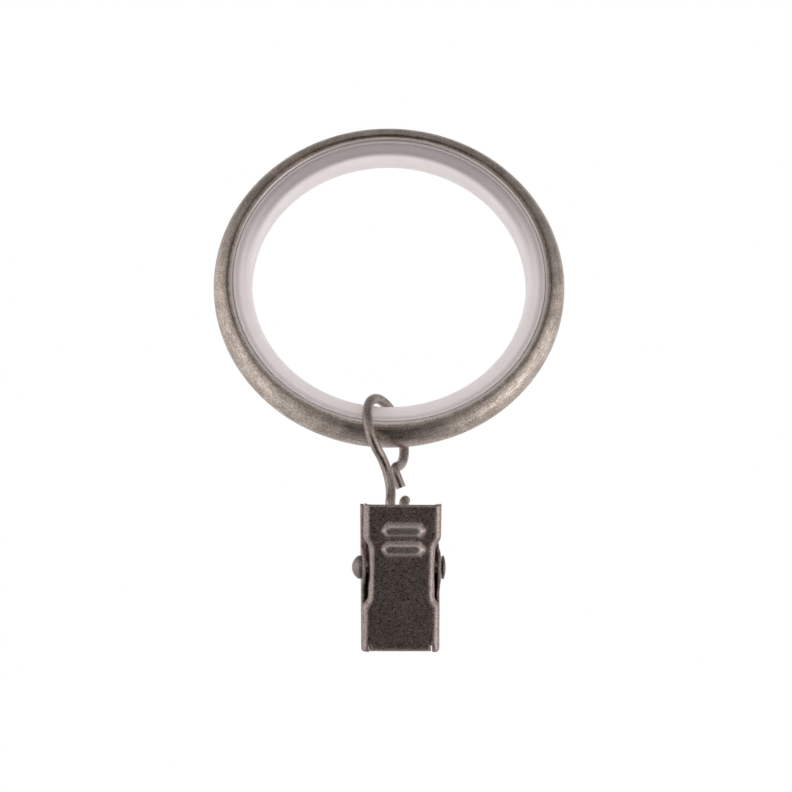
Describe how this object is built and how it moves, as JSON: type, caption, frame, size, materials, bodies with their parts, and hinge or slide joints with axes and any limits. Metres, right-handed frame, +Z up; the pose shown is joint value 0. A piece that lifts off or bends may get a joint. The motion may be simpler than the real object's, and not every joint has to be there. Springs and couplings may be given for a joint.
{
  "type": "curtain ring with clip",
  "caption": "Metal curtain ring with a plastic glide liner, a bent wire hook and a sprung clip that grips the top of a curtain.",
  "frame": {"origin": "centre of the ring, on the axis of the rod that it hangs on", "axes": "+Y along the ring's axis and the rod, from the clip's front side to its back; +Z up, with the clip hanging to -Z"},
  "size_m": [0.062, 0.0156, 0.0987],
  "materials": {
    "ring_metal": "satin, mottled pewter",
    "liner_plastic": "translucent, smooth",
    "hook_wire": "drawn, satin",
    "clip_steel": "satin gunmetal, fine grain",
    "rivet_steel": "satin",
    "spring_steel": "drawn"
  },
  "bodies": {
    "ring": {"ring_shell": "ring_metal", "ring_liner": "liner_plastic"},
    "hook": {"wire_hook": "hook_wire"},
    "clip_back": {"rear_jaw": "clip_steel", "pivot_rivet": "rivet_steel", "torsion_spring": "spring_steel"},
    "clip_front": {"front_jaw": "clip_steel"}
  },
  "joints": [
    {"name": "hook_swing", "type": "hinge", "parent": "ring", "child": "hook", "pos_m": [0, 0, -0.0276], "axis": [1, 0, 0], "range_deg": [-60, 60]},
    {"name": "clip_swing", "type": "hinge", "parent": "hook", "child": "clip_back", "pos_m": [0.00164, 0.00004, -0.04332], "axis": [0.9962, 0.0809, 0.0323], "range_deg": [-30, 20]},
    {"name": "jaw_open", "type": "hinge", "parent": "clip_back", "child": "clip_front", "pos_m": [0.00202, -0.00042, -0.05368], "axis": [-0.9962, -0.0809, -0.0323], "range_deg": [0, 22], "stiffness_Nm_per_rad": 0.08, "springref_deg": -34.38, "deforming": ["torsion_spring"]}
  ]
}
